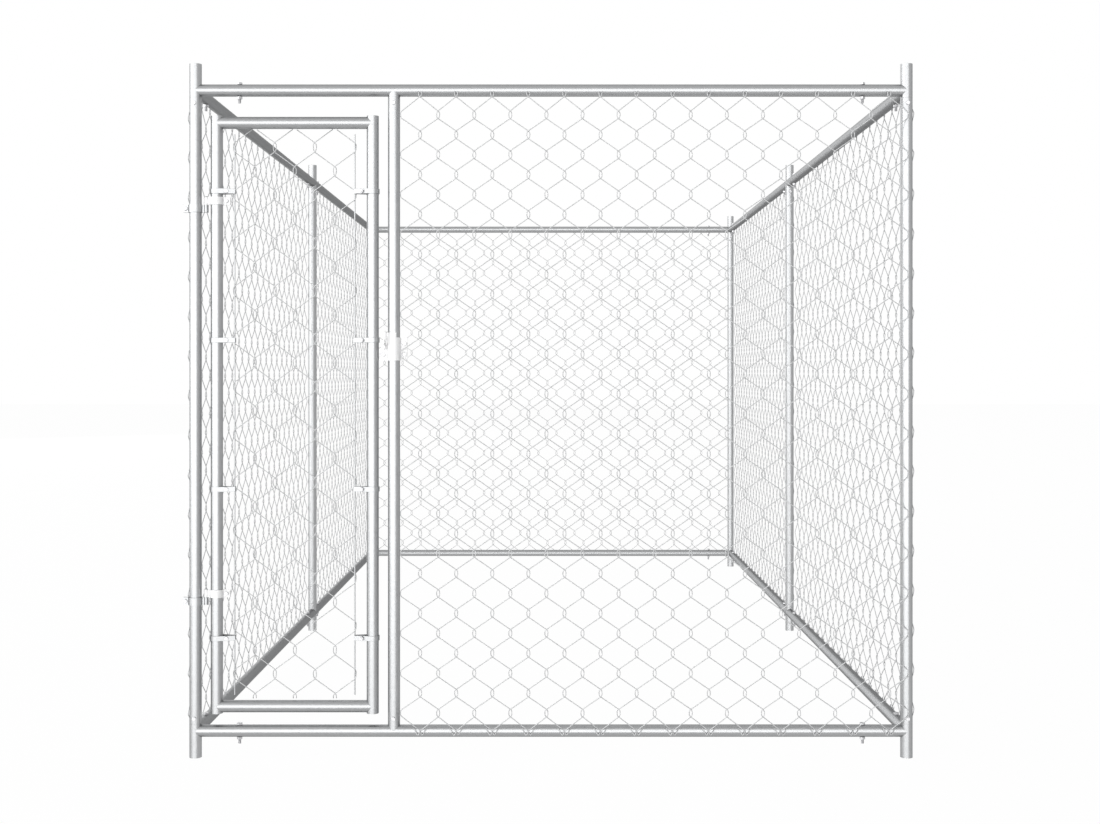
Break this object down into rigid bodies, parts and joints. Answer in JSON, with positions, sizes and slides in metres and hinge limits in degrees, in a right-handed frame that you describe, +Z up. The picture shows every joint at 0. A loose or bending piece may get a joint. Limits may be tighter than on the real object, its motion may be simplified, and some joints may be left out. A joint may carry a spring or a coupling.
{
  "type": "dog kennel run",
  "caption": "Outdoor dog run: a bolted galvanised tube frame with chain-link nets on all sides, an open top, and a hinged gate with a fork latch.",
  "frame": {"origin": "on the ground, at the middle of the six posts", "axes": "+X to the right seen from the gate side, +Y from the gate side to the rear, +Z up"},
  "size_m": [1.9422, 3.8391, 1.84],
  "materials": {
    "galvanised_tube": "hot-dip galvanised, satin",
    "galvanised_wire": "galvanised wire, satin",
    "zinc_fittings": "bright zinc plate, satin",
    "zinc_bolts": "bright zinc plate"
  },
  "bodies": {
    "frame": {"front_left_post": "galvanised_tube", "front_right_post": "galvanised_tube", "middle_left_post": "galvanised_tube", "middle_right_post": "galvanised_tube", "rear_left_post": "galvanised_tube", "rear_right_post": "galvanised_tube", "front_left_top_fitting": "galvanised_tube", "front_left_bottom_fitting": "galvanised_tube", "front_right_top_fitting": "galvanised_tube", "front_right_bottom_fitting": "galvanised_tube", "middle_left_top_fitting": "galvanised_tube", "middle_left_bottom_fitting": "galvanised_tube", "middle_right_top_fitting": "galvanised_tube", "middle_right_bottom_fitting": "galvanised_tube", "rear_left_top_fitting": "galvanised_tube", "rear_left_bottom_fitting": "galvanised_tube", "rear_right_top_fitting": "galvanised_tube", "rear_right_bottom_fitting": "galvanised_tube", "front_top_rail": "galvanised_tube", "front_bottom_rail": "galvanised_tube", "rear_top_rail": "galvanised_tube", "rear_bottom_rail": "galvanised_tube", "left_front_top_rail": "galvanised_tube", "left_front_bottom_rail": "galvanised_tube", "left_rear_top_rail": "galvanised_tube", "left_rear_bottom_rail": "galvanised_tube", "right_front_top_rail": "galvanised_tube", "right_front_bottom_rail": "galvanised_tube", "right_rear_top_rail": "galvanised_tube", "right_rear_bottom_rail": "galvanised_tube", "latch_post": "galvanised_tube", "rail_bolts": "zinc_bolts", "post_bolts": "zinc_bolts", "front_net": "galvanised_wire", "rear_net": "galvanised_wire", "left_front_net": "galvanised_wire", "left_rear_net": "galvanised_wire", "right_front_net": "galvanised_wire", "right_rear_net": "galvanised_wire", "upper_post_clamp": "galvanised_tube", "lower_post_clamp": "galvanised_tube", "upper_hinge_pin": "galvanised_tube", "lower_hinge_pin": "galvanised_tube", "post_clamp_bolts": "zinc_bolts", "collar_front": "zinc_fittings", "collar_rear": "zinc_fittings", "collar_bolts": "zinc_bolts", "pivot_pin": "zinc_fittings"},
    "gate": {"gate_hinge_stile": "galvanised_tube", "gate_latch_stile": "galvanised_tube", "gate_top_rail": "galvanised_tube", "gate_bottom_rail": "galvanised_tube", "gate_net": "galvanised_wire", "tension_rods": "zinc_fittings", "tension_bands": "zinc_fittings", "band_bolts": "zinc_bolts", "upper_gate_clamp": "zinc_fittings", "lower_gate_clamp": "zinc_fittings", "gate_clamp_bolts": "zinc_bolts"},
    "latch_fork": {"latch_fork": "zinc_fittings"}
  },
  "joints": [
    {"name": "gate_swing", "type": "hinge", "parent": "frame", "child": "gate", "pos_m": [-0.91575, -1.894, 0.4245], "axis": [0, 0, 1], "range_deg": [-100, 90]},
    {"name": "latch_fork_lift", "type": "hinge", "parent": "frame", "child": "latch_fork", "pos_m": [-0.444, -1.894, 1.088], "axis": [0, 1, 0], "range_deg": [-98, 0]}
  ]
}
